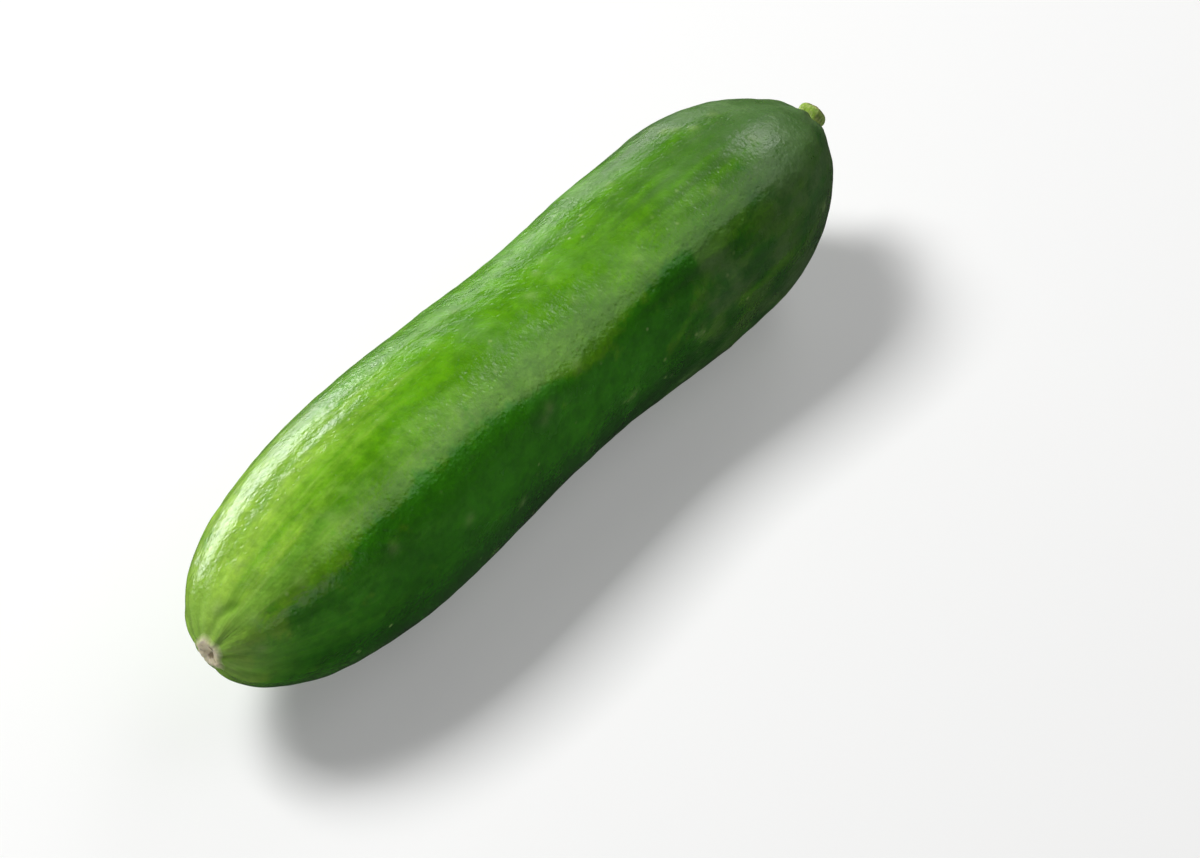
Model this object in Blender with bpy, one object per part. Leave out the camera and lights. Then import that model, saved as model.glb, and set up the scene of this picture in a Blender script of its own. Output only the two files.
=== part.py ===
"""A mini cucumber lying on a flat surface, as picked, with a short stub of its stem left on.

Metres, +Z up. +X runs along the fruit towards its stem end. The origin is the bottom centre of the
whole part's box, so the fruit rests on z = 0.
"""

import math

import bmesh
import bpy
from mathutils import Matrix, Vector

# Fruit: its length and its three girths, from the blossom end to the stem end
LENGTH = 0.150
BLOSSOM_RADIUS = 0.0184
WAIST_RADIUS = 0.0172
SHOULDER_RADIUS = 0.0185

# Where the girth starts and stops changing, as shares of the length from the blossom tip
BLOSSOM_FULL_TO = 0.30
WAIST_AT = 0.57
SHOULDER_FULL_FROM = 0.75

# How each end closes: the length that it takes, and its fullness (1 is a cone, 2 an ellipse)
BLOSSOM_END_LENGTH = 0.047
BLOSSOM_FULLNESS = 2.1
STEM_END_LENGTH = 0.0275
STEM_FULLNESS = 1.95

# The spine: the middle bows sideways towards +Y, both ends lift off the surface, and the stem end
# swings back towards +Y
SIDE_BOW = 0.0038
BLOSSOM_LIFT = 0.0042
STEM_LIFT = 0.0048
STEM_SWING = 0.0016
BENT_SHARE = 0.30
WAIST_DROP_SHARE = 0.45  # of the radius that the waist lacks: 1 keeps the underside straight

# Three seed chambers swell the flesh into three soft lobes
LOBE_COUNT = 3
LOBE_HEIGHT = 0.0011
LOBE_TURN = math.radians(129)

# The underside is pressed flat where the fruit's weight rests
BELLY_PRESS = 0.0005

# Blossom scar: a small puckered dimple at the tip
SCAR_RADIUS = 0.0028
SCAR_DEPTH = 0.0006

# Stem stub: a five-ridged stalk, flared where it leaves the fruit and swollen below its cut
STUB_RADIUS = 0.0022
STUB_HEIGHT = 0.0036  # above the fruit's tip
STUB_TILT = math.radians(12)  # up from the spine's own direction
STUB_FLARE = 0.0004
NECK_SHARE = 0.5  # of the stub's height, where it is thinnest
STUB_SWELL = 0.0003
SWELL_SHARE = 0.8  # of the stub's height, where it is thick again
STUB_ROUNDING = 0.0005
STUB_RIDGES = 5
RIDGE_HEIGHT = 0.00018
SOCKET_DEPTH = 0.0016
CLEARANCE = 0.0003  # between the stub and its socket, all round

# Colours, as linear red, green and blue, and how rough each surface is
SKIN_GREEN = (0.11, 0.30, 0.03)
SKIN_ROUGHNESS = 0.35
STEM_GREEN = (0.30, 0.42, 0.08)
STEM_ROUGHNESS = 0.55

# Facets
FRUIT_SIDES = 48
FRUIT_RINGS = 44
STUB_SIDES = 30
SHARP_EDGE = math.radians(50)
OVERSHOOT = 0.004  # how far the socket's cutter stands out of the skin
TOUCHING = 0.000001  # points this near each other are one


def smooth_step(start, stop, value):
    share = min(max((value - start) / (stop - start), 0.0), 1.0)
    return share * share * (3 - 2 * share)


def mix(first, second, share):
    return first + (second - first) * share


def body_radius(share):
    """The fruit's radius at a share of its length, as if its ends didn't close."""
    to_waist = smooth_step(BLOSSOM_FULL_TO, WAIST_AT, share)
    to_shoulder = smooth_step(WAIST_AT, SHOULDER_FULL_FROM, share)
    radius = mix(BLOSSOM_RADIUS, WAIST_RADIUS, to_waist)
    return mix(radius, SHOULDER_RADIUS, to_shoulder)


def closing(distance, end_length, fullness):
    """What an end leaves of the radius at a distance from its tip: 0 at the tip, 1 past the end."""
    inward = 1 - min(distance / end_length, 1.0)
    return max(1 - inward**fullness, 0.0) ** (1 / fullness)


def fruit_radius(share):
    blossom = closing(share * LENGTH, BLOSSOM_END_LENGTH, BLOSSOM_FULLNESS)
    stem = closing((1 - share) * LENGTH, STEM_END_LENGTH, STEM_FULLNESS)
    return body_radius(share) * blossom * stem


def spine(share):
    """The centre of the fruit's cross-section, with its length along X and centred on it."""
    widest = max(BLOSSOM_RADIUS, SHOULDER_RADIUS)
    blossom_bend = max(1 - share / BENT_SHARE, 0.0) ** 2
    stem_bend = max(1 - (1 - share) / BENT_SHARE, 0.0) ** 2
    sideways = SIDE_BOW * math.sin(math.pi * share) + STEM_SWING * stem_bend
    height = widest - WAIST_DROP_SHARE * (widest - body_radius(share))
    height += BLOSSOM_LIFT * blossom_bend + STEM_LIFT * stem_bend
    return Vector(((share - 0.5) * LENGTH, sideways, height))


def cross_section(share):
    """The frame of the fruit's cross-section: its x is the spine's direction, its z is nearly up."""
    step = 0.002
    forward = (spine(min(share + step, 1.0)) - spine(max(share - step, 0.0))).normalized()
    across = Vector((0, 0, 1)).cross(forward).normalized()
    up = forward.cross(across)
    frame = Matrix((forward, across, up)).transposed().to_4x4()
    return Matrix.Translation(spine(share)) @ frame


def new_object(name, mesh_builder, material=None):
    """Links a mesh object whose bmesh is closed, has outward faces and is shaded smooth."""
    bmesh.ops.recalc_face_normals(mesh_builder, faces=mesh_builder.faces)
    mesh = bpy.data.meshes.new(name)
    mesh_builder.to_mesh(mesh)
    mesh_builder.free()
    mesh.shade_smooth()
    mesh.set_sharp_from_angle(angle=SHARP_EDGE)
    if material:
        mesh.materials.append(material)
    made = bpy.data.objects.new(name, mesh)
    bpy.context.scene.collection.objects.link(made)
    return made


def plant_material(name, colour, roughness):
    material = bpy.data.materials.new(name)
    material.use_nodes = True
    shader = material.node_tree.nodes["Principled BSDF"]
    shader.inputs["Base Color"].default_value = (*colour, 1.0)
    shader.inputs["Roughness"].default_value = roughness
    shader.inputs["Metallic"].default_value = 0.0
    return material


def make_fruit():
    """A sphere whose poles become the two tips: each ring moves to the cross-section it stands for."""
    shape = bmesh.new()
    poles_along_x = Matrix.Rotation(math.pi / 2, 4, "Y")
    bmesh.ops.create_uvsphere(
        shape, u_segments=FRUIT_SIDES, v_segments=FRUIT_RINGS, radius=1.0, matrix=poles_along_x
    )
    for vertex in shape.verts:
        share = (1 + vertex.co.x) / 2
        around = math.atan2(vertex.co.z, vertex.co.y)
        radius = fruit_radius(share)
        lobes = math.cos(LOBE_COUNT * (around - LOBE_TURN))
        swollen = radius * (1 + LOBE_HEIGHT * lobes / body_radius(share))
        dimple = SCAR_DEPTH * (1 - smooth_step(0, SCAR_RADIUS, radius)) if share < 0.5 else 0.0
        place = Vector((dimple, swollen * math.cos(around), swollen * math.sin(around)))
        vertex.co = cross_section(share) @ place
    press_belly(shape)
    return new_object("fruit", shape, plant_material("skin", SKIN_GREEN, SKIN_ROUGHNESS))


def press_belly(shape):
    """Cuts the lowest skin off level, which leaves the flats that the fruit rests on."""
    lowest = min(vertex.co.z for vertex in shape.verts)
    bmesh.ops.bisect_plane(
        shape,
        geom=shape.verts[:] + shape.edges[:] + shape.faces[:],
        dist=TOUCHING / 10,
        plane_co=(0, 0, lowest + BELLY_PRESS),
        plane_no=(0, 0, -1),
        clear_outer=True,
    )
    bmesh.ops.holes_fill(shape, edges=[edge for edge in shape.edges if edge.is_boundary], sides=0)


def turned(profile, sides):
    """A solid turned about Z from (radius, height) points that start and end on the axis."""
    shape = bmesh.new()
    points = [shape.verts.new((radius, 0, height)) for radius, height in profile]
    outline = [shape.edges.new(pair) for pair in zip(points, points[1:])]
    bmesh.ops.spin(
        shape, geom=points + outline, axis=(0, 0, 1), angle=2 * math.pi, steps=sides, use_merge=True
    )
    bmesh.ops.remove_doubles(shape, verts=shape.verts, dist=TOUCHING)
    return shape


def stem_seat():
    """The frame of the stem at the fruit's end: its z points out, a little above the spine's direction."""
    return cross_section(1.0) @ Matrix.Rotation(math.pi / 2 - STUB_TILT, 4, "Y")


def make_stub():
    """The stalk, turned and then ridged above the skin, so that its foot stays round in the socket."""
    foot = CLEARANCE - SOCKET_DEPTH
    flare_radius = STUB_RADIUS + STUB_FLARE
    flare_foot = flare_radius * math.sin(STUB_TILT) + CLEARANCE  # clear of the skin on the leaning side
    cut_radius = STUB_RADIUS + STUB_SWELL
    profile = [
        (0, foot),
        (STUB_RADIUS, foot),
        (STUB_RADIUS, flare_foot),
        (flare_radius, flare_foot + STUB_FLARE / 2),
        (STUB_RADIUS, NECK_SHARE * STUB_HEIGHT),
        (cut_radius, SWELL_SHARE * STUB_HEIGHT),
        (cut_radius, STUB_HEIGHT - STUB_ROUNDING),
        (cut_radius - STUB_ROUNDING, STUB_HEIGHT),
        (0, STUB_HEIGHT),
    ]
    shape = turned(profile, STUB_SIDES)
    for vertex in shape.verts:
        if vertex.co.z < flare_foot + TOUCHING or vertex.co.xy.length < TOUCHING:
            continue
        around = math.atan2(vertex.co.y, vertex.co.x)
        ridge = RIDGE_HEIGHT * math.cos(STUB_RIDGES * around)
        vertex.co.xy *= 1 + ridge / vertex.co.xy.length
    stub = new_object("stem_stub", shape, plant_material("stem", STEM_GREEN, STEM_ROUGHNESS))
    stub.matrix_world = stem_seat()
    return stub


def cut_socket(fruit):
    """Sinks the stem's seat into the fruit's end, wider and deeper than the stub by the clearance."""
    radius = STUB_RADIUS + CLEARANCE
    profile = [(0, -SOCKET_DEPTH), (radius, -SOCKET_DEPTH), (radius, OVERSHOOT), (0, OVERSHOOT)]
    cutter = new_object("socket_cutter", turned(profile, STUB_SIDES))
    cutter.matrix_world = stem_seat()
    cutter.hide_render = True
    cutter.display_type = "WIRE"
    cut = fruit.modifiers.new("stem socket", "BOOLEAN")
    cut.operation = "DIFFERENCE"
    cut.object = cutter
    return cutter


def stand_on_origin(parts, helpers):
    """Puts all the parts under one empty that moves their common box's bottom centre to the origin."""
    bpy.context.view_layer.update()
    graph = bpy.context.evaluated_depsgraph_get()
    corners = [
        part.matrix_world @ vertex.co
        for part in parts
        for vertex in part.evaluated_get(graph).data.vertices
    ]
    low, high = ([pick(corner[i] for corner in corners) for i in range(3)] for pick in (min, max))
    holder = bpy.data.objects.new("cucumber", None)
    bpy.context.scene.collection.objects.link(holder)
    for part in parts + helpers:
        part.parent = holder
    holder.location = (-(low[0] + high[0]) / 2, -(low[1] + high[1]) / 2, -low[2])


for old in list(bpy.data.objects):
    bpy.data.objects.remove(old)

fruit = make_fruit()
stub = make_stub()
cutter = cut_socket(fruit)
stand_on_origin([fruit, stub], [cutter])
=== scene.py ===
"""A mini cucumber lying on a pale surface, as picked: the fruit's skin and its stub of stem."""

import math
import random

import bmesh
import bpy
from mathutils import Matrix, Vector, kdtree, noise


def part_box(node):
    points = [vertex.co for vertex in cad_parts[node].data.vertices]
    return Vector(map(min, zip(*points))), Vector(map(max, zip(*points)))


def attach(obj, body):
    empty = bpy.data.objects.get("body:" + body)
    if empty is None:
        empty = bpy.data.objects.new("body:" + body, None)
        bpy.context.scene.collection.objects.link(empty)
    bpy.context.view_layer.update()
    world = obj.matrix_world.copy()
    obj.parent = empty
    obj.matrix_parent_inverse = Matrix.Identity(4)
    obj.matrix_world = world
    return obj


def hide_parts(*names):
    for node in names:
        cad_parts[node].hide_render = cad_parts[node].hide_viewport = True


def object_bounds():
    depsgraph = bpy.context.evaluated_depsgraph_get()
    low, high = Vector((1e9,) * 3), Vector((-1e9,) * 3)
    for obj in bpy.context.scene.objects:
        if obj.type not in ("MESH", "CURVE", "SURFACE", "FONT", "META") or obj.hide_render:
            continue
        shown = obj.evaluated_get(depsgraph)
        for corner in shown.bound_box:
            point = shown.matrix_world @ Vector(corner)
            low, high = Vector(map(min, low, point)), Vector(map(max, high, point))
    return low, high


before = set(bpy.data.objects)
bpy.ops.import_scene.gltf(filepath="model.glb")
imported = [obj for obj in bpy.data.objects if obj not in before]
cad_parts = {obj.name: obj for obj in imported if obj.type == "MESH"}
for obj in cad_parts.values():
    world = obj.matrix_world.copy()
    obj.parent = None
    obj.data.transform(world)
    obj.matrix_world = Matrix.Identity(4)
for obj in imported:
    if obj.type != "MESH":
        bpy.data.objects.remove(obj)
cad_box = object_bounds()


# Fruit, the shape: one berry with a smooth waxy rind, grown round three seed chambers that swell it
# into soft lobes. It thickens towards both ends, bows a little, and lies on its belly, which its
# weight presses flat. The spine and the girth have the solid model's sizes.
LENGTH = 0.150
BLOSSOM_RADIUS = 0.0184
WAIST_RADIUS = 0.0172
SHOULDER_RADIUS = 0.0185
BLOSSOM_FULL_TO = 0.30  # of the length, from the blossom tip
WAIST_AT = 0.57
SHOULDER_FULL_FROM = 0.75
BLOSSOM_END_LENGTH = 0.047
BLOSSOM_FULLNESS = 2.1  # 1 closes an end as a cone, 2 as an ellipse
STEM_END_LENGTH = 0.0275
STEM_FULLNESS = 1.95
SIDE_BOW = 0.0038
BLOSSOM_LIFT = 0.0042
STEM_LIFT = 0.0048
STEM_SWING = 0.0016
BENT_SHARE = 0.30  # of the length, at each end
WAIST_DROP_SHARE = 0.45  # of the radius that the waist lacks
LOBE_COUNT = 3
LOBE_HEIGHT = 0.0011
LOBE_TURN = math.radians(129)
BELLY_PRESS = 0.0005

SKIN_SIDES = 224
SKIN_RINGS = 440


def smooth_step(start, stop, value):
    share = min(max((value - start) / (stop - start), 0.0), 1.0)
    return share * share * (3 - 2 * share)


def mix(first, second, share):
    return first + (second - first) * share


def body_radius(share):
    """The fruit's radius at a share of its length, as if its ends didn't close."""
    to_waist = smooth_step(BLOSSOM_FULL_TO, WAIST_AT, share)
    to_shoulder = smooth_step(WAIST_AT, SHOULDER_FULL_FROM, share)
    return mix(mix(BLOSSOM_RADIUS, WAIST_RADIUS, to_waist), SHOULDER_RADIUS, to_shoulder)


def closing(distance, end_length, fullness):
    """What an end leaves of the radius at a distance from its tip: 0 at the tip, 1 past the end."""
    inward = 1 - min(distance / end_length, 1.0)
    return max(1 - inward**fullness, 0.0) ** (1 / fullness)


def fruit_radius(share):
    blossom = closing(share * LENGTH, BLOSSOM_END_LENGTH, BLOSSOM_FULLNESS)
    stem = closing((1 - share) * LENGTH, STEM_END_LENGTH, STEM_FULLNESS)
    return body_radius(share) * blossom * stem


def spine(share):
    """The centre of the fruit's cross-section at a share of its length."""
    widest = max(BLOSSOM_RADIUS, SHOULDER_RADIUS)
    blossom_bend = max(1 - share / BENT_SHARE, 0.0) ** 2
    stem_bend = max(1 - (1 - share) / BENT_SHARE, 0.0) ** 2
    sideways = SIDE_BOW * math.sin(math.pi * share) + STEM_SWING * stem_bend
    height = widest - WAIST_DROP_SHARE * (widest - body_radius(share))
    height += BLOSSOM_LIFT * blossom_bend + STEM_LIFT * stem_bend
    return Vector(((share - 0.5) * LENGTH, sideways, height))


def cross_section(share):
    """The frame of the fruit's cross-section: its x is the spine's direction, its z is nearly up."""
    step = 0.002
    forward = (spine(min(share + step, 1.0)) - spine(max(share - step, 0.0))).normalized()
    across = Vector((0, 0, 1)).cross(forward).normalized()
    turn = Matrix((forward, across, forward.cross(across))).transposed().to_4x4()
    return Matrix.Translation(spine(share)) @ turn


def box_of(points):
    low = Vector([min(point[axis] for point in points) for axis in range(3)])
    high = Vector([max(point[axis] for point in points) for axis in range(3)])
    return low, high


skin = bmesh.new()
bmesh.ops.create_uvsphere(
    skin,
    u_segments=SKIN_SIDES,
    v_segments=SKIN_RINGS,
    radius=1.0,
    matrix=Matrix.Rotation(math.pi / 2, 4, "Y"),
)
along_of = skin.verts.layers.float.new("along")  # metres from the blossom tip
around_of = skin.verts.layers.float.new("around")  # radians round the spine
radius_of = skin.verts.layers.float.new("radius")  # metres from the spine
rings = {}
for vertex in skin.verts:
    share = (1 + vertex.co.x) / 2
    around = math.atan2(vertex.co.z, vertex.co.y)
    ring = round(share, 6)
    if ring not in rings:
        rings[ring] = (cross_section(share), fruit_radius(share), body_radius(share))
    section, radius, full_radius = rings[ring]
    radius *= 1 + LOBE_HEIGHT * math.cos(LOBE_COUNT * (around - LOBE_TURN)) / full_radius
    vertex.co = section @ Vector((0, radius * math.cos(around), radius * math.sin(around)))
    vertex[along_of] = share * LENGTH
    vertex[around_of] = around
    vertex[radius_of] = radius

# The grown shape is set down where the solid stands, sunk by what its weight presses flat.
cad_low, cad_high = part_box("fruit")
skin_low, skin_high = box_of([vertex.co for vertex in skin.verts])
seat = (cad_low + cad_high - skin_low - skin_high) / 2
seat.z = cad_low.z - BELLY_PRESS - skin_low.z
bmesh.ops.translate(skin, verts=skin.verts, vec=seat)


# Fruit, the relief: faint ribs run its length, and the rind is finely pebbled with scattered low
# warts. The blossom end is pleated round a corky scar, where the flower dropped off, and the
# shoulder is furrowed round the stem.
CREST_HEIGHT = 0.00035
CREST_HALF_WIDTH = math.radians(12)
CREST_FADE = (0.006, 0.015)  # where it is lost at the ends, in metres from the spine
CREST_WANDER = math.radians(11)
WANDER_STEP = LENGTH / 10  # along the fruit, for each radian of the wander's wave
WANDER_REACH = LENGTH / 6  # each way from the fruit's middle
RIB_HEIGHT = 0.00010
FINE_RIB_HEIGHT = 0.000035
RIB_FADE = (0.002, 0.012)
PEBBLE_HEIGHT = 0.000060
PEBBLE_SIZE = 0.0021
KNOLL_HEIGHT = 0.00008
KNOLL_SIZE = 0.0046
DENT_DEPTH = 0.00012
DENT_SIZE = 0.011
WART_COUNT = 90
WART_RADIUS = 0.0010
WART_HEIGHT = 0.00013
WART_SIZES = (0.5, 1.0)  # of that height
WART_REACH = 2.2 * WART_RADIUS
PLEAT_COUNT = 10
PLEAT_DEPTH = 0.00013
PLEAT_FADE = (0.005, 0.013)
SCAR_RADIUS = 0.0027
SCAR_OFF_AXIS = 0.0015
SCAR_TURN = math.radians(-59)
SCAR_SIDES = 5
SCAR_WOBBLE = 0.22  # of its radius
SCAR_CORNERS = 0.06  # of its radius
SCAR_RIM = 0.00022
SCAR_PIT = 0.0007
CREASE_DEPTH = 0.00030
CREASE_TURN = math.radians(101)
CREASE_FROM_SCAR = 0.0082
CREASE_SLANT = 78.0  # radians for each metre away from the scar
CREASE_LENGTH = 0.0018
CREASE_WIDTH = 0.0009
FURROW_COUNT = 10
FURROW_DEPTH = 0.00020
FURROW_START = (0.002, 0.0045)
FURROW_FADE = (0.007, 0.014)
COLLAR_LIFT = 0.0006
COLLAR_RADIUS = 0.0048


def stretched(around, along, round_scale=1.0, long_scale=1.0, offset=0.0):
    """A point whose noise runs in streaks along the fruit and closes round it."""
    return Vector(
        (
            math.cos(around) * round_scale + offset,
            math.sin(around) * round_scale,
            along / LENGTH * long_scale,
        )
    )


def from_crest(around, along):
    """The angle from the upper front lobe's crest, which wanders a little along the fruit."""
    from_middle = along - LENGTH / 2
    wander = CREST_WANDER * math.cos(from_middle / WANDER_STEP)
    wander *= math.exp(-((from_middle / WANDER_REACH) ** 2))
    return (around - LOBE_TURN - wander + math.pi) % (2 * math.pi) - math.pi


def crest_lift(turned, radius):
    """The soft corner that each lobe ends in."""
    lobe = 2 * math.pi / LOBE_COUNT
    nearest = (turned + lobe / 2) % lobe - lobe / 2
    return CREST_HEIGHT * math.exp(-((nearest / CREST_HALF_WIDTH) ** 2)) * smooth_step(*CREST_FADE, radius)


def scar_edge(around):
    """The scar's radius in one direction: an uneven, five-sided ring."""
    wobble = noise.noise(Vector((1.4 * math.cos(around), 1.4 * math.sin(around), 5.0)))
    return SCAR_RADIUS * (1 + SCAR_WOBBLE * wobble + SCAR_CORNERS * math.cos(SCAR_SIDES * around))


def tip_relief(radius, around):
    """What the blossom end adds to the smooth shape, how corky it is, and how pale or deep its green."""
    # From here on, the radius and the angle are taken from the scar's middle, a little off the spine
    across = radius * math.cos(around) - SCAR_OFF_AXIS * math.cos(SCAR_TURN)
    up = radius * math.sin(around) - SCAR_OFF_AXIS * math.sin(SCAR_TURN)
    radius, around = math.hypot(across, up), math.atan2(up, across)
    edge = scar_edge(around)
    cork = 1 - smooth_step(0.65 * edge, 1.25 * edge, radius)
    waver = 1.2 * noise.noise(Vector((math.cos(around) * 2, math.sin(around) * 2, radius * 250)))
    pleat = math.cos(PLEAT_COUNT * around + waver)
    pleat_reach = smooth_step(0.6 * edge, 1.3 * edge, radius) * (1 - smooth_step(*PLEAT_FADE, radius))
    rim = math.exp(-(((radius - 0.78 * edge) / (0.22 * edge)) ** 2))
    pit = math.exp(-((radius / (0.42 * edge)) ** 2))
    crumple = noise.noise(Vector((math.cos(around) * 5, math.sin(around) * 5, radius * 1500)))
    height = PLEAT_DEPTH * pleat * pleat_reach + SCAR_RIM * rim * (1 + 0.7 * crumple) - SCAR_PIT * pit
    crease = math.exp(-(((radius - CREASE_FROM_SCAR) / CREASE_LENGTH) ** 2))
    aside = around - CREASE_TURN - CREASE_SLANT * (radius - CREASE_FROM_SCAR)
    crease *= math.exp(-((aside * radius / CREASE_WIDTH) ** 2))
    return height - CREASE_DEPTH * crease, cork, pleat * pleat_reach * 0.5 - crease


def shoulder_relief(radius, around):
    """What the stem end adds: a low collar round the stem with short furrows running out of it."""
    waver = 1.5 * noise.noise(Vector((math.cos(around) * 2, math.sin(around) * 2, radius * 200)))
    furrow = math.cos(FURROW_COUNT * around + waver)
    reach = smooth_step(*FURROW_START, radius) * (1 - smooth_step(*FURROW_FADE, radius))
    collar = COLLAR_LIFT * math.exp(-((radius / COLLAR_RADIUS) ** 2))
    return FURROW_DEPTH * furrow * reach + collar, furrow * reach * 0.5


cork_of = skin.verts.layers.float.new("cork")
# Paler on the relief's crests and deeper green in its troughs and the crease
relief_tone_of = skin.verts.layers.float.new("relief_tone")  # pale where it is above 0, deep green below
skin.normal_update()
lifts = []
for vertex in skin.verts:
    along, around, radius = vertex[along_of], vertex[around_of], vertex[radius_of]
    away_from_ends = smooth_step(*RIB_FADE, radius)
    ribs = noise.noise(stretched(around, along, round_scale=3.6, long_scale=1.6))
    fine_ribs = noise.noise(stretched(around, along, round_scale=10.5, long_scale=4.0, offset=7.0))
    pebbles = noise.noise(vertex.co / PEBBLE_SIZE)
    knolls = noise.noise(vertex.co / KNOLL_SIZE + Vector((5, 9, 2)))
    dents = noise.noise(vertex.co / DENT_SIZE + Vector((3, 1, 4)))
    lift = RIB_HEIGHT * ribs * away_from_ends + FINE_RIB_HEIGHT * fine_ribs * away_from_ends
    lift += crest_lift(from_crest(around, along), radius)
    lift += PEBBLE_HEIGHT * pebbles + (KNOLL_HEIGHT * knolls + DENT_DEPTH * dents) * away_from_ends
    cork = relief_tone = 0.0
    if along < LENGTH / 2:
        end_lift, cork, relief_tone = tip_relief(radius, around)
    else:
        end_lift, relief_tone = shoulder_relief(radius, around)
    lifts.append(lift + end_lift)
    vertex[cork_of] = cork
    vertex[relief_tone_of] = relief_tone

wart_of = skin.verts.layers.float.new("wart")
skin.verts.ensure_lookup_table()
near = kdtree.KDTree(len(skin.verts))
for index, vertex in enumerate(skin.verts):
    near.insert(vertex.co, index)
near.balance()
chance = random.Random(11)
for _ in range(WART_COUNT):
    centre = chance.choice(skin.verts).co
    size = chance.uniform(*WART_SIZES)
    for _, index, distance in near.find_range(centre, WART_REACH):
        swell = size * math.exp(-((distance / WART_RADIUS) ** 2))
        lifts[index] += WART_HEIGHT * swell
        skin.verts[index][wart_of] = max(skin.verts[index][wart_of], swell)

# Nothing reaches below the surface that the fruit lies on, so the pressed belly stays flat.
for vertex, lift in zip(skin.verts, lifts):
    vertex.co += vertex.normal * lift
    vertex.co.z = max(vertex.co.z, cad_low.z)


# Fruit, the finish: a yellow-green blossom end runs through mid green into a dark, blue-green stem
# end, with pale streaks, dark mottling and pale flecks. Painted shade makes the flank turned from the
# light deeper green, painted light runs the pale end further up the lit side, and a painted sheen
# lies along the ridge. Wax makes it glossy, and hazy where its bloom is left.
BLOSSOM_GREEN = (0.330, 0.560, 0.055, 1)
BODY_GREEN = (0.112, 0.340, 0.003, 1)
STEM_END_GREEN = (0.046, 0.125, 0.014, 1)
TIP_GREEN = (0.270, 0.470, 0.080, 1)
DEEP_GREEN = (0.022, 0.105, 0.003, 1)
# Painted shade: these two tints darken the flank turned from the light and the underside
PAINTED_SHADE_TINT = (0.26, 0.78, 0.14, 1)
UNDERSIDE_SHADE_TINT = (0.42, 0.52, 0.34, 1)
STREAK_GREEN = (0.330, 0.500, 0.110, 1)
# Painted sheen: a paler green along the ridge's lit side
RIDGE_SHEEN_GREEN = (0.255, 0.500, 0.080, 1)
FLECK_GREEN = (0.420, 0.560, 0.200, 1)
BLOOM_GREY = (0.230, 0.370, 0.160, 1)
CORK = (0.740, 0.660, 0.460, 1)
CORK_SHADE = (0.310, 0.250, 0.140, 1)

# Where each green sets in or ends round the fruit, in degrees from the crest that faces up and
# forward: the shaded flank is on the plus side
SHADE_START = (-12, 8)
SHADE_END = (150, 180)
UNDERSIDE_SHADE_START = (24, 72)
UNDERSIDE_SHADE_END = (130, 180)
# Painted light: the lit side, where the pale end runs further
LIT_SIDE_START = (-18, -55)
LIT_SIDE_END = (-150, -120)
# Painted sheen along the ridge
RIDGE_SHEEN_START = (-36, -16)
RIDGE_SHEEN_END = (-6, 4)
SHADE_SOFTNESS = 40  # how much later the shade is full at the blossom tip
STARTS_EARLIER = 0.3  # of that

# Where they change along it, in metres from the blossom tip, or from the spine for TIP_FADE
SOFT_FADE = (0.002, 0.024)
SHADE_LIGHTENING_START = (0.085, 0.115)  # the painted shade is lighter by the stem end
TIP_FADE = (0.0035, 0.0115)
BLOSSOM_FADE = (0.034, -0.032)
STEM_END_START = (0.082, 0.140)
RIDGE_SHEEN_FADE = (0.128, 0.050)
STREAK_FADE = (0.075, 0.012)
HAZE_START = (0.105, 0.142)
ZONE_WANDER = 0.09  # how far streaks draw out the zones' edges, at most half of it each way
LIT_SIDE_REACH = 0.034  # how much further the pale end runs up the lit side, as painted light

# About how many of each pattern's features come in a metre
CLOUDS = 95.0
SPOTS = 330.0
RAGGED_EDGES = 170.0
PORES = 310.0
PORE_PATCHES = 150.0
BLOOM_PATCHES = 60.0
CREVICES = 700.0
SKIN_CELLS = 900.0

# Masks for the painted shade, the painted light on the lit side and the painted sheen on the ridge
painted_shade_of = skin.verts.layers.float.new("painted_shade")
underside_shade_of = skin.verts.layers.float.new("underside_shade")
tip_of = skin.verts.layers.float.new("tip")
lit_side_of = skin.verts.layers.float.new("lit_side")
ridge_sheen_of = skin.verts.layers.float.new("ridge_sheen")
streak_of = skin.verts.layers.float_vector.new("streak")
for vertex in skin.verts:
    along, around, radius = vertex[along_of], vertex[around_of], vertex[radius_of]
    turned = math.degrees(from_crest(around, along))
    softness = SHADE_SOFTNESS * (1 - smooth_step(*SOFT_FADE, along))
    painted_shade = smooth_step(SHADE_START[0] - STARTS_EARLIER * softness, SHADE_START[1] + softness, turned)
    painted_shade *= 1 - smooth_step(*SHADE_END, turned)
    underside_shade = smooth_step(*UNDERSIDE_SHADE_START, turned) * (1 - smooth_step(*UNDERSIDE_SHADE_END, turned))
    tip = 1 - smooth_step(*TIP_FADE, radius) if along < LENGTH / 2 else 0.0
    shade_lightening = smooth_step(*SHADE_LIGHTENING_START, along)
    # The painted shade fades at the tip and is lighter by the stem end
    vertex[painted_shade_of] = painted_shade * (1 - 0.8 * tip) * (1 - 0.6 * shade_lightening)
    # Painted shade underneath, also lighter by the stem end
    vertex[underside_shade_of] = underside_shade * (1 - tip) * (1 - 0.5 * shade_lightening)
    vertex[tip_of] = tip
    # Painted light on the lit side
    vertex[lit_side_of] = smooth_step(*LIT_SIDE_START, turned) * smooth_step(*LIT_SIDE_END, turned)
    # Painted sheen along the ridge's lit side
    vertex[ridge_sheen_of] = smooth_step(*RIDGE_SHEEN_START, turned) * (1 - smooth_step(*RIDGE_SHEEN_END, turned))
    vertex[streak_of] = stretched(around, along)


def node_in(tree, kind, inputs=None, **settings):
    """Adds a node, sets its properties, and fills its sockets with values or other nodes' outputs."""
    node = tree.nodes.new(kind)
    for name, value in settings.items():
        setattr(node, name, value)
    for socket, value in (inputs or {}).items():
        if isinstance(value, bpy.types.NodeSocket):
            tree.links.new(value, node.inputs[socket])
        else:
            node.inputs[socket].default_value = value
    return node


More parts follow.
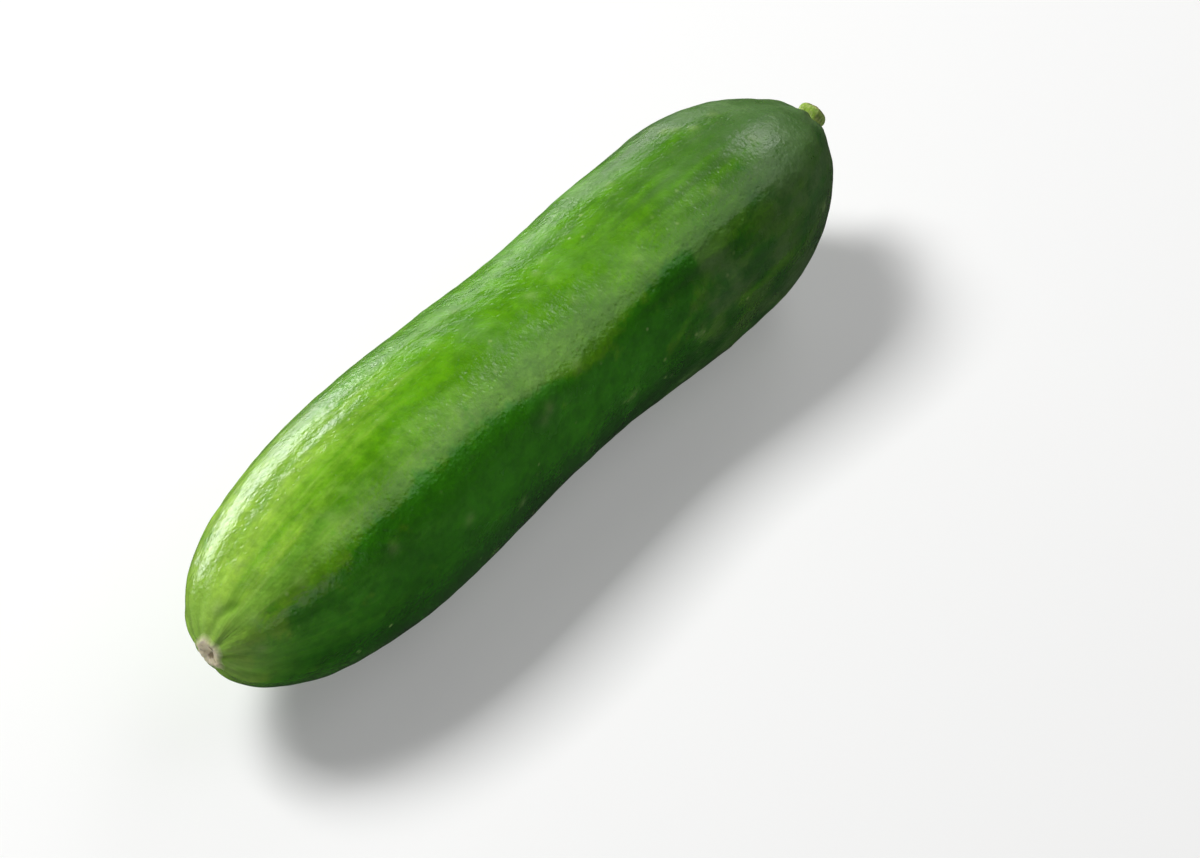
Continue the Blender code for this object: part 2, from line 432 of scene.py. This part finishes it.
def ramp(tree, value, start, stop):
    """A smooth rise from 0 to 1 as value goes from start to stop, which may run downwards."""
    node = node_in(
        tree,
        "ShaderNodeMapRange",
        {"Value": value, "From Min": start, "From Max": stop},
        interpolation_type="SMOOTHSTEP",
    )
    return node.outputs["Result"]


def blended(tree, share, first, second, blend="MIX"):
    node = node_in(tree, "ShaderNodeMix", data_type="RGBA", blend_type=blend)
    for socket, value in ((0, share), (6, first), (7, second)):
        if isinstance(value, bpy.types.NodeSocket):
            tree.links.new(value, node.inputs[socket])
        else:
            node.inputs[socket].default_value = value
    return node.outputs[2]


def worked(tree, operation, first, second, clamp=False):
    node = node_in(tree, "ShaderNodeMath", {0: first, 1: second}, operation=operation, use_clamp=clamp)
    return node.outputs[0]


def painted(tree, colour, over, mask, strength):
    """Lays one colour over another where a mask says, at up to the given strength."""
    return blended(tree, worked(tree, "MULTIPLY", mask, strength), colour, over)


def noise_at(tree, vector, scale, detail=2.0, roughness=0.5):
    inputs = {"Vector": vector, "Scale": scale, "Detail": detail, "Roughness": roughness}
    return node_in(tree, "ShaderNodeTexNoise", inputs).outputs["Fac"]


def new_group(name, takes, gives):
    """An empty node group with named inputs and outputs, given as (name, socket type) pairs."""
    group = bpy.data.node_groups.new(name, "ShaderNodeTree")
    for socket, kind in takes:
        group.interface.new_socket(socket, in_out="INPUT", socket_type=kind)
    for socket, kind in gives:
        group.interface.new_socket(socket, in_out="OUTPUT", socket_type=kind)
    return group, group.nodes.new("NodeGroupInput"), group.nodes.new("NodeGroupOutput")


def make_plant_grain():
    """Cells under a waxy film: a height of fine pebbles over coarser ones, of the size it is given."""
    group, takes, gives = new_group(
        "plant grain",
        [("Place", "NodeSocketVector"), ("Scale", "NodeSocketFloat")],
        [("Height", "NodeSocketFloat"), ("Pale", "NodeSocketFloat")],
    )
    place, scale = takes.outputs["Place"], takes.outputs["Scale"]
    coarse = noise_at(group, place, scale, 1.0)
    fine = noise_at(group, place, worked(group, "MULTIPLY", scale, 3.1), 2.0)
    cells = node_in(group, "ShaderNodeTexVoronoi", {"Vector": place, "Scale": scale}, feature="F1")
    pit = worked(group, "MULTIPLY", ramp(group, cells.outputs["Distance"], 0.45, 0.05), -0.38)
    height = worked(group, "ADD", worked(group, "MULTIPLY", fine, 0.45), pit)
    group.links.new(worked(group, "ADD", coarse, height), gives.inputs["Height"])
    group.links.new(ramp(group, cells.outputs["Distance"], 0.16, 0.05), gives.inputs["Pale"])
    return group


def make_mottle():
    """Uneven green: a mask of broad patches broken up by finer ones."""
    group, takes, gives = new_group(
        "mottle",
        [("Place", "NodeSocketVector"), ("Scale", "NodeSocketFloat")],
        [("Mask", "NodeSocketFloat")],
    )
    place, scale = takes.outputs["Place"], takes.outputs["Scale"]
    broad = noise_at(group, place, scale, 3.0, 0.6)
    fine = noise_at(group, place, worked(group, "MULTIPLY", scale, 3.7), 3.0, 0.65)
    broad, fine = worked(group, "MULTIPLY", broad, 0.65), worked(group, "MULTIPLY", fine, 0.35)
    group.links.new(ramp(group, worked(group, "ADD", broad, fine), 0.40, 0.62), gives.inputs["Mask"])
    return group


PLANT_GRAIN = make_plant_grain()
MOTTLE = make_mottle()


def group_node(tree, group, place, scale):
    node = tree.nodes.new("ShaderNodeGroup")
    node.node_tree = group
    tree.links.new(place, node.inputs["Place"])
    node.inputs["Scale"].default_value = scale
    return node


def attribute(tree, name, output="Fac"):
    return node_in(tree, "ShaderNodeAttribute", attribute_name=name).outputs[output]


def new_material(name):
    material = bpy.data.materials.new(name)
    material.use_nodes = True
    return material.node_tree, material.node_tree.nodes["Principled BSDF"], material


def make_skin():
    tree, shader, material = new_material("waxy skin")
    place = node_in(tree, "ShaderNodeTexCoord").outputs["Object"]
    along = attribute(tree, "along")
    streak = attribute(tree, "streak", "Vector")
    cork = attribute(tree, "cork")
    relief_tone = attribute(tree, "relief_tone")

    # How far along, with its zones' edges drawn out into streaks
    long_streaks = noise_at(tree, streak, 5.0, 3.0, 0.6)
    fine_streaks = noise_at(tree, streak, 13.0, 2.0, 0.5)
    uneven = worked(tree, "MULTIPLY", worked(tree, "SUBTRACT", long_streaks, 0.5), ZONE_WANDER)
    zone = worked(tree, "ADD", along, uneven)
    # Painted light: the pale blossom green runs further up the lit side
    lit_side = worked(tree, "MULTIPLY", attribute(tree, "lit_side"), LIT_SIDE_REACH)
    reach = worked(tree, "SUBTRACT", zone, lit_side)
    colour = blended(tree, ramp(tree, reach, *BLOSSOM_FADE), BODY_GREEN, BLOSSOM_GREEN)
    colour = blended(tree, ramp(tree, zone, *STEM_END_START), colour, STEM_END_GREEN)

    # A painted sheen along the ridge's lit side, in ragged paler patches that end towards the stem
    ragged = worked(tree, "SUBTRACT", noise_at(tree, place, RAGGED_EDGES, 4.0, 0.6), 0.5)
    ridge = worked(tree, "ADD", attribute(tree, "ridge_sheen"), worked(tree, "MULTIPLY", ragged, 2.6))
    ridge = worked(tree, "MULTIPLY", ramp(tree, ridge, 0.40, 1.05), ramp(tree, zone, *RIDGE_SHEEN_FADE))
    colour = painted(tree, colour, RIDGE_SHEEN_GREEN, ridge, 0.40)

    # Mottling, in broad clouds and fine ones, deep green where it is dense
    clouds = group_node(tree, MOTTLE, place, CLOUDS).outputs["Mask"]
    colour = painted(tree, colour, DEEP_GREEN, clouds, 0.38)
    spots = group_node(tree, MOTTLE, place, SPOTS).outputs["Mask"]
    colour = painted(tree, colour, DEEP_GREEN, spots, 0.28)

    # Painted shade: the flank turned from the light is deeper green, and duller underneath
    turned = worked(tree, "ADD", attribute(tree, "painted_shade"), worked(tree, "MULTIPLY", ragged, 2.3))
    painted_shade = worked(tree, "MULTIPLY", ramp(tree, turned, 0.25, 0.75), 0.85)
    colour = blended(tree, painted_shade, colour, PAINTED_SHADE_TINT, "MULTIPLY")
    # Painted shade underneath
    colour = blended(tree, attribute(tree, "underside_shade"), colour, UNDERSIDE_SHADE_TINT, "MULTIPLY")

    # Paler round the scar
    colour = painted(tree, colour, TIP_GREEN, attribute(tree, "tip"), 0.55)

    # Pale streaks from the blossom end; the pleats and the furrows are paler on their crests and deeper
    # green in their troughs and in the crease
    streaks = ramp(tree, fine_streaks, 0.50, 0.72)
    streaks = worked(tree, "MULTIPLY", streaks, ramp(tree, zone, *STREAK_FADE))
    streaks = worked(tree, "SUBTRACT", streaks, painted_shade, clamp=True)
    colour = painted(tree, colour, STREAK_GREEN, streaks, 0.20)
    colour = painted(tree, colour, STREAK_GREEN, ramp(tree, relief_tone, 0.1, 1.0), 0.30)
    colour = painted(tree, colour, DEEP_GREEN, ramp(tree, relief_tone, -0.1, -1.0), 0.48)

    # Pale flecks, the breathing pores, and paler warts
    flecks = group_node(tree, PLANT_GRAIN, place, PORES).outputs["Pale"]
    rare = ramp(tree, noise_at(tree, place, PORE_PATCHES, 1.0), 0.50, 0.70)
    colour = painted(tree, colour, FLECK_GREEN, worked(tree, "MULTIPLY", flecks, rare), 0.45)
    colour = painted(tree, colour, FLECK_GREEN, attribute(tree, "wart"), 0.25)

    # Bloom: patches of dull wax, most at the stem end
    patches = noise_at(tree, place, BLOOM_PATCHES, 4.0, 0.65)
    bloom = ramp(tree, worked(tree, "ADD", patches, worked(tree, "MULTIPLY", along, 1.6)), 0.56, 0.90)
    haze = worked(tree, "MULTIPLY", bloom, 0.20)
    # Less of the bloom's grey on the painted shade
    haze = worked(tree, "SUBTRACT", haze, worked(tree, "MULTIPLY", painted_shade, 0.12), clamp=True)
    haze = worked(tree, "ADD", haze, worked(tree, "MULTIPLY", ramp(tree, zone, *HAZE_START), 0.12))
    colour = blended(tree, haze, colour, BLOOM_GREY)

    # Cork on the scar
    crevice = ramp(tree, noise_at(tree, place, CREVICES, 3.0), 0.30, 0.50)
    colour = blended(tree, cork, colour, blended(tree, crevice, CORK_SHADE, CORK))
    tree.links.new(colour, shader.inputs["Base Color"])

    # Glossy under a thin coat of wax, duller where there is bloom and dry on the cork
    rough = worked(tree, "ADD", worked(tree, "MULTIPLY", bloom, 0.20), 0.24)
    rough = worked(tree, "ADD", rough, worked(tree, "MULTIPLY", cork, 0.45), clamp=True)
    tree.links.new(rough, shader.inputs["Roughness"])
    coat = worked(tree, "SUBTRACT", 0.10, worked(tree, "MULTIPLY", bloom, 0.10))
    tree.links.new(worked(tree, "SUBTRACT", coat, cork, clamp=True), shader.inputs["Coat Weight"])
    shader.inputs["Coat Roughness"].default_value = 0.16
    shader.inputs["Subsurface Weight"].default_value = 0.10
    shader.inputs["Subsurface Radius"].default_value = (0.4, 1.0, 0.1)
    shader.inputs["Subsurface Scale"].default_value = 0.0015

    # The finest grain: cells, and hair-thin lines along the fruit
    grain = group_node(tree, PLANT_GRAIN, place, SKIN_CELLS).outputs["Height"]
    cells = node_in(tree, "ShaderNodeBump", {"Height": grain, "Strength": 0.8, "Distance": 0.00013})
    lines = node_in(
        tree,
        "ShaderNodeBump",
        {"Height": fine_streaks, "Strength": 0.5, "Distance": 0.00016, "Normal": cells.outputs[0]},
    )
    tree.links.new(lines.outputs[0], shader.inputs["Normal"])
    return material


def finished_piece(name, shape, material):
    """Links a closed, smooth-shaded mesh at the origin that rides on the part's one body."""
    bmesh.ops.recalc_face_normals(shape, faces=shape.faces)
    mesh = bpy.data.meshes.new(name)
    shape.to_mesh(mesh)
    shape.free()
    mesh.shade_smooth()
    mesh.materials.append(material)
    piece = bpy.data.objects.new(name, mesh)
    bpy.context.scene.collection.objects.link(piece)
    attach(piece, "root")
    return piece


fruit_skin = finished_piece("fruit_skin", skin, make_skin())
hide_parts("fruit")


# Stem stub: what is left of the stalk, cut a few millimetres above the fruit. It is a fibrous green
# stem with five blunt ridges, flared where it grows out of the shoulder and swollen below its dry
# cut. It is turned, then ridged, and its root is sunk into the skin.
STUB_RADIUS = 0.0022
STUB_HEIGHT = 0.0034
STUB_TILT = math.radians(12)  # up from the spine's own direction
STUB_ROOT = 0.0014  # how deep it is sunk
STUB_FLARE = 0.0013
FLARE_REACH = 0.0008
STUB_SWELL = 0.00050
STUB_ROUNDING = 0.0015
STUB_RIDGES = 5
RIDGE_HEIGHT = 0.00011
FIBRE_HEIGHT = 0.00006
CUT_DISH = 0.00035
CUT_ROUGHNESS = 0.00008
STUB_SIDES = 160
STUB_STEPS = 60
RIM_STEPS = 8
CUT_STEPS = 30
TOUCHING = 0.000001  # points this near each other are one
STALK_GREEN = (0.250, 0.400, 0.045, 1)
STALK_PALE = (0.420, 0.520, 0.150, 1)
CUT_OLIVE = (0.120, 0.160, 0.025, 1)
CUT_TAN = (0.420, 0.360, 0.160, 1)
STALK_SPOTS = 500.0
DRY_SPOTS = 1500.0
STALK_CELLS = 2200.0


def stub_outline():
    """(radius, height) points from the root, up the side, over the rounded rim and in across the cut."""
    points = []
    rim_height = STUB_HEIGHT - STUB_ROUNDING
    for step in range(STUB_STEPS + 1):
        height = mix(-STUB_ROOT, rim_height, step / STUB_STEPS)
        flare = STUB_FLARE * math.exp(-max(height, 0.0) / FLARE_REACH)
        swell = STUB_SWELL * smooth_step(0.3 * STUB_HEIGHT, 0.8 * STUB_HEIGHT, height)
        points.append((STUB_RADIUS + flare + swell, height))
    rim_radius = points[-1][0] - STUB_ROUNDING
    for step in range(1, RIM_STEPS + 1):
        angle = step / RIM_STEPS * math.pi / 2
        outward, up = STUB_ROUNDING * math.cos(angle), STUB_ROUNDING * math.sin(angle)
        points.append((rim_radius + outward, rim_height + up))
    for step in range(1, CUT_STEPS + 1):
        share = 1 - step / CUT_STEPS
        dish = CUT_DISH * (1 - smooth_step(0.55, 1.0, share))
        points.append((rim_radius * share, STUB_HEIGHT - dish))
    return [(0.0, -STUB_ROOT)] + points


stub = bmesh.new()
outline = [stub.verts.new((radius, 0, height)) for radius, height in stub_outline()]
edges = [stub.edges.new(pair) for pair in zip(outline, outline[1:])]
bmesh.ops.spin(
    stub, geom=outline + edges, axis=(0, 0, 1), angle=2 * math.pi, steps=STUB_SIDES, use_merge=True
)
bmesh.ops.remove_doubles(stub, verts=stub.verts, dist=TOUCHING)
cut_of = stub.verts.layers.float.new("cut")
fibre_of = stub.verts.layers.float_vector.new("fibre")
cut_starts, cut_ends = STUB_HEIGHT - 0.5 * STUB_ROUNDING, STUB_HEIGHT - 0.2 * STUB_ROUNDING
for vertex in stub.verts:
    radius = vertex.co.xy.length
    around = math.atan2(vertex.co.y, vertex.co.x)
    on_cut = smooth_step(cut_starts, cut_ends, vertex.co.z)
    inside = 1 - smooth_step(0.6 * STUB_RADIUS, 0.95 * STUB_RADIUS, radius)
    vertex[cut_of] = max(on_cut, inside) if vertex.co.z > 0.5 * STUB_HEIGHT else 0.0
    vertex[fibre_of] = (math.cos(around), math.sin(around), vertex.co.z / STUB_HEIGHT * 0.5)
    if radius < TOUCHING:
        continue
    ridge = RIDGE_HEIGHT * math.cos(STUB_RIDGES * around) * smooth_step(0, STUB_RADIUS, radius)
    fibre = noise.noise(Vector((math.cos(around) * 4, math.sin(around) * 4, vertex.co.z * 400)))
    vertex.co.xy *= 1 + (ridge + FIBRE_HEIGHT * fibre) / radius
    vertex.co.z += CUT_ROUGHNESS * vertex[cut_of] * noise.noise(vertex.co / 0.0005)
tilt = Matrix.Rotation(math.pi / 2 - STUB_TILT, 4, "Y")
stem_seat = Matrix.Translation(seat) @ cross_section(1.0) @ tilt
bmesh.ops.transform(stub, matrix=stem_seat, verts=stub.verts)


def make_stalk():
    tree, shader, material = new_material("stalk")
    place = node_in(tree, "ShaderNodeTexCoord").outputs["Object"]
    fibre = attribute(tree, "fibre", "Vector")
    cut = attribute(tree, "cut")
    fibres = noise_at(tree, fibre, 7.0, 3.0, 0.6)
    colour = blended(tree, ramp(tree, fibres, 0.42, 0.66), STALK_GREEN, STALK_PALE)
    mottling = group_node(tree, MOTTLE, place, STALK_SPOTS).outputs["Mask"]
    colour = painted(tree, colour, DEEP_GREEN, mottling, 0.35)
    dry = ramp(tree, noise_at(tree, place, DRY_SPOTS, 3.0), 0.40, 0.62)
    colour = blended(tree, cut, colour, blended(tree, dry, CUT_OLIVE, CUT_TAN))
    tree.links.new(colour, shader.inputs["Base Color"])
    rough = worked(tree, "ADD", 0.48, worked(tree, "MULTIPLY", cut, 0.3))
    tree.links.new(rough, shader.inputs["Roughness"])
    shader.inputs["Subsurface Weight"].default_value = 0.12
    shader.inputs["Subsurface Radius"].default_value = (0.5, 1.0, 0.15)
    shader.inputs["Subsurface Scale"].default_value = 0.001
    grain = group_node(tree, PLANT_GRAIN, place, STALK_CELLS).outputs["Height"]
    cells = node_in(tree, "ShaderNodeBump", {"Height": grain, "Strength": 0.7, "Distance": 0.00006})
    lines = node_in(
        tree,
        "ShaderNodeBump",
        {"Height": fibres, "Strength": 0.7, "Distance": 0.00015, "Normal": cells.outputs[0]},
    )
    tree.links.new(lines.outputs[0], shader.inputs["Normal"])
    return material


stem_stub = finished_piece("stem_stub_cut", stub, make_stalk())
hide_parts("stem_stub")


# Floor: a plain pale table, faintly lit from below so that shadows on it stay soft. It is just under
# the fruit, so that the two surfaces don't share a plane. The skin's gloss doesn't show it, and it
# casts no shadow, because the low strips of light stand partly below it.
FLOOR_SIZE = 3.0
FLOOR_GAP = 0.0001
FLOOR_WHITE = (0.66, 0.66, 0.655, 1)
UNDERLIGHT = 0.24

sheet = bmesh.new()
bmesh.ops.create_grid(sheet, x_segments=1, y_segments=1, size=FLOOR_SIZE / 2)
bmesh.ops.translate(sheet, verts=sheet.verts, vec=(0, 0, cad_box[0][2] - FLOOR_GAP))
floor_mesh = bpy.data.meshes.new("floor")
sheet.to_mesh(floor_mesh)
sheet.free()
floor_tree, floor_shader, floor_material = new_material("pale floor")
floor_shader.inputs["Base Color"].default_value = FLOOR_WHITE
floor_shader.inputs["Roughness"].default_value = 0.8
floor_shader.inputs["Emission Color"].default_value = (1, 1, 1, 1)
floor_shader.inputs["Emission Strength"].default_value = UNDERLIGHT
floor_mesh.materials.append(floor_material)
floor = bpy.data.objects.new("floor", floor_mesh)
bpy.context.scene.collection.objects.link(floor)
floor.visible_glossy = False
floor.visible_shadow = False


# View: from above, beyond the blossom end and in front of the shaded flank, through a long lens. It
# aims a little to the right of the part's middle and below it.
VIEW_TURN = math.radians(51.33)
VIEW_HEIGHT = math.radians(45.67)
VIEW_DISTANCE = 0.5612
LENS = 104.4
AIM_RIGHT = 0.01214
AIM_UP = -0.00921

across_view = Vector((math.cos(VIEW_TURN), -math.sin(VIEW_TURN), 0))
away = Vector((math.sin(VIEW_TURN), math.cos(VIEW_TURN), 0))
look = math.cos(VIEW_HEIGHT) * away - math.sin(VIEW_HEIGHT) * Vector((0, 0, 1))
up_view = across_view.cross(look)
middle = (Vector(cad_box[0]) + Vector(cad_box[1])) / 2
aim = middle + AIM_RIGHT * across_view + AIM_UP * up_view

camera_data = bpy.data.cameras.new("camera")
camera_data.lens = LENS
camera = bpy.data.objects.new("camera", camera_data)
camera.location = aim - VIEW_DISTANCE * look
camera.rotation_euler = look.to_track_quat("-Z", "Y").to_euler()
bpy.context.scene.collection.objects.link(camera)
bpy.context.scene.camera = camera


# Light: a key softbox above and behind the fruit, which the gloss doesn't show, and low bright strips
# behind it that draw the rim's highlight. Dim panels haze the ridge and the shoulder, and a thin strip
# along the front only shows in the gloss.
SOFTBOX_DISTANCE = 1.0
WORLD_STRENGTH = 0.032


def softbox(name, direction, width, height, radiance, distance=SOFTBOX_DISTANCE):
    """An area light that faces the fruit from a direction, with its width along the fruit."""
    light = bpy.data.lights.new(name, "AREA")
    light.shape = "RECTANGLE"
    light.size, light.size_y = width, height
    light.energy = radiance * math.pi * width * height
    towards = Vector(direction).normalized()
    lengthwise = (Vector((1, 0, 0)) - towards.x * towards).normalized()
    turn = Matrix((lengthwise, towards.cross(lengthwise), towards)).transposed().to_4x4()
    lamp = bpy.data.objects.new(name, light)
    lamp.matrix_world = Matrix.Translation(middle + distance * towards) @ turn
    bpy.context.scene.collection.objects.link(lamp)
    return lamp


key = softbox("key softbox", (-0.15, 0.54, 0.84), width=0.5, height=0.4, radiance=23.0, distance=1.1)
key.visible_glossy = False
softbox("rim strip", (0.17, 0.96, -0.02), width=0.60, height=0.30, radiance=6.0)
softbox("rim strip's tail", (0.60, 0.79, -0.04), width=0.34, height=0.15, radiance=2.0)
softbox("ridge panel", (0.545, -0.33, 0.77), width=0.9, height=0.66, radiance=0.8)
front = softbox("front strip", (-0.34, -0.90, 0.32), width=0.80, height=0.16, radiance=1.3)
front.visible_diffuse = False
softbox("shoulder panel", (0.80, 0.22, 0.55), width=0.34, height=0.36, radiance=3.0)

world = bpy.data.worlds.new("pale surround")
world.use_nodes = True
world.node_tree.nodes["Background"].inputs["Color"].default_value = (1, 1, 1, 1)
world.node_tree.nodes["Background"].inputs["Strength"].default_value = WORLD_STRENGTH
bpy.context.scene.world = world
bpy.context.scene.view_settings.view_transform = "Standard"
